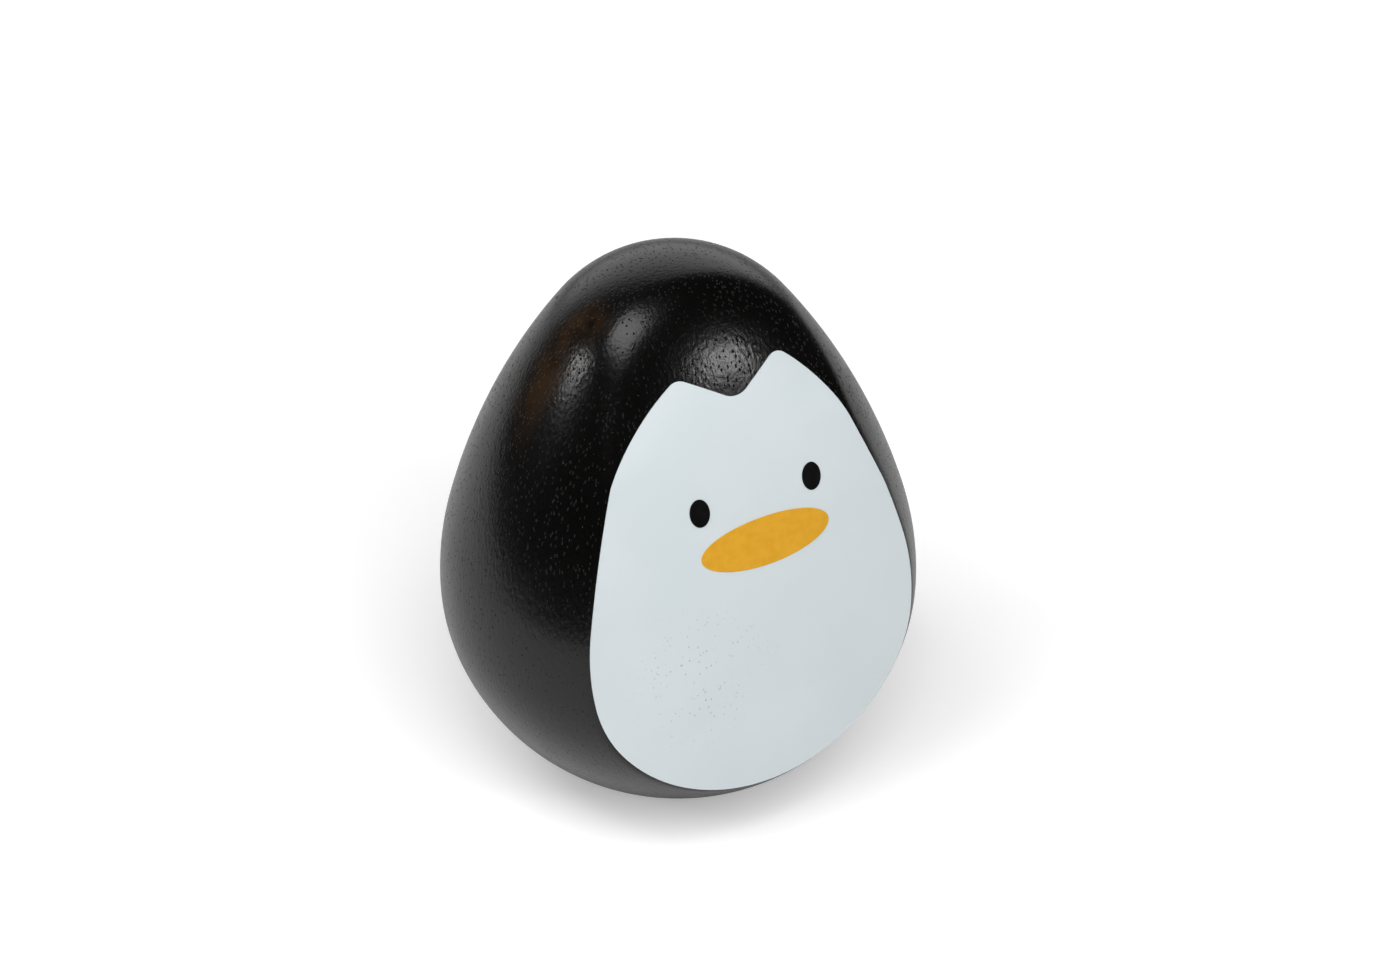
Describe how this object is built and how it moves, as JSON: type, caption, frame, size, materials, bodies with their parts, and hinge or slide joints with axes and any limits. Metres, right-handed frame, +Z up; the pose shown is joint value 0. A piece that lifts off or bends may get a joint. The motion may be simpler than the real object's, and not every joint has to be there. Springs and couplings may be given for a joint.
{
  "type": "roly poly toy",
  "caption": "Egg-shaped wooden roly poly toy with a gently crowned, painted penguin face, a ballasted round base that rights itself and a bell that swings inside.",
  "frame": {"origin": "middle of the small flat under the round base, where the toy stands", "axes": "+Z up along the turning axis, -Y out of the face, +X to the right of someone who looks at the face"},
  "size_m": [0.08, 0.0711, 0.0989],
  "materials": {
    "stained_wood": "satin",
    "white_paint": "satin",
    "black_print": "satin",
    "amber_print": "satin",
    "ballast_steel": "matte",
    "zinc_steel": "satin",
    "bell_brass": "polished"
  },
  "bodies": {
    "egg": {"body": "stained_wood", "base_plug": "stained_wood", "ballast_weight": "ballast_steel", "ballast_screws": "zinc_steel", "face_coat": "white_paint", "left_eye": "black_print", "right_eye": "black_print", "beak": "amber_print", "hanger_eye": "zinc_steel"},
    "ring": {"hanger_ring": "zinc_steel"},
    "bell": {"bell_shell": "bell_brass", "bell_loop": "zinc_steel"},
    "striker": {"clapper": "bell_brass"}
  },
  "joints": [
    {"name": "ring_swing", "type": "hinge", "parent": "egg", "child": "ring", "pos_m": [0, 0, 0.0577], "axis": [0, 1, 0], "range_deg": [-20, 20]},
    {"name": "bell_swing", "type": "hinge", "parent": "ring", "child": "bell", "pos_m": [0, 0, 0.054], "axis": [1, 0, 0], "range_deg": [-20, 20]},
    {"name": "clapper_swing", "type": "hinge", "parent": "bell", "child": "striker", "pos_m": [0, 0, 0.0465], "axis": [0, 1, 0], "range_deg": [-28, 28]}
  ]
}
